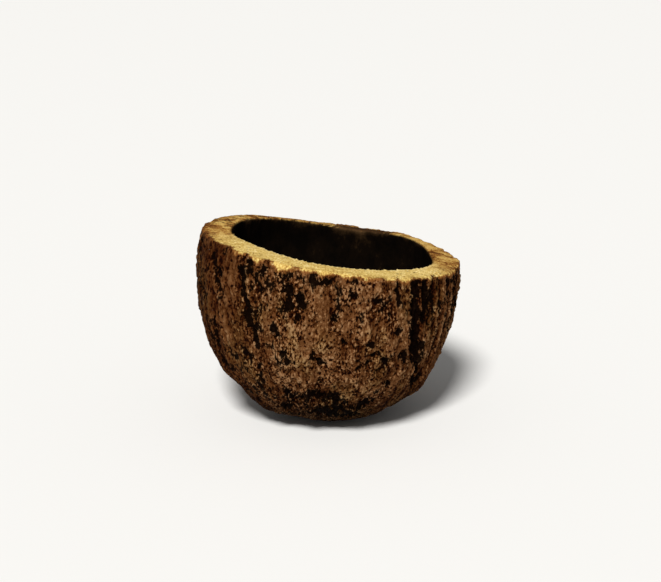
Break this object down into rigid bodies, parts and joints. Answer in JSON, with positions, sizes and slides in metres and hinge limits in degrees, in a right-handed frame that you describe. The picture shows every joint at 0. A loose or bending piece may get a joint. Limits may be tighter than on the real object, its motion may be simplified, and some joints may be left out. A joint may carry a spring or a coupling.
{
  "type": "brazil nut pod",
  "caption": "Emptied woody seed pod sawn open at a slant, a thick-walled round cup with furrowed bark, a slanting cut rim and a small flat foot to stand on.",
  "frame": {"origin": "centre of the small flat foot that the pod stands on", "axes": "+Z along the pod's own axis, from the foot up to the mouth; the slanting mouth is lowest towards +X and a little lower towards +Y"},
  "size_m": [0.1107, 0.1096, 0.0818],
  "materials": {
    "woody_husk": "dry, rough, furrowed brown bark outside, golden sawn rim, dark brown inside"
  },
  "bodies": {
    "root": {"pod_husk": "woody_husk"}
  },
  "joints": []
}
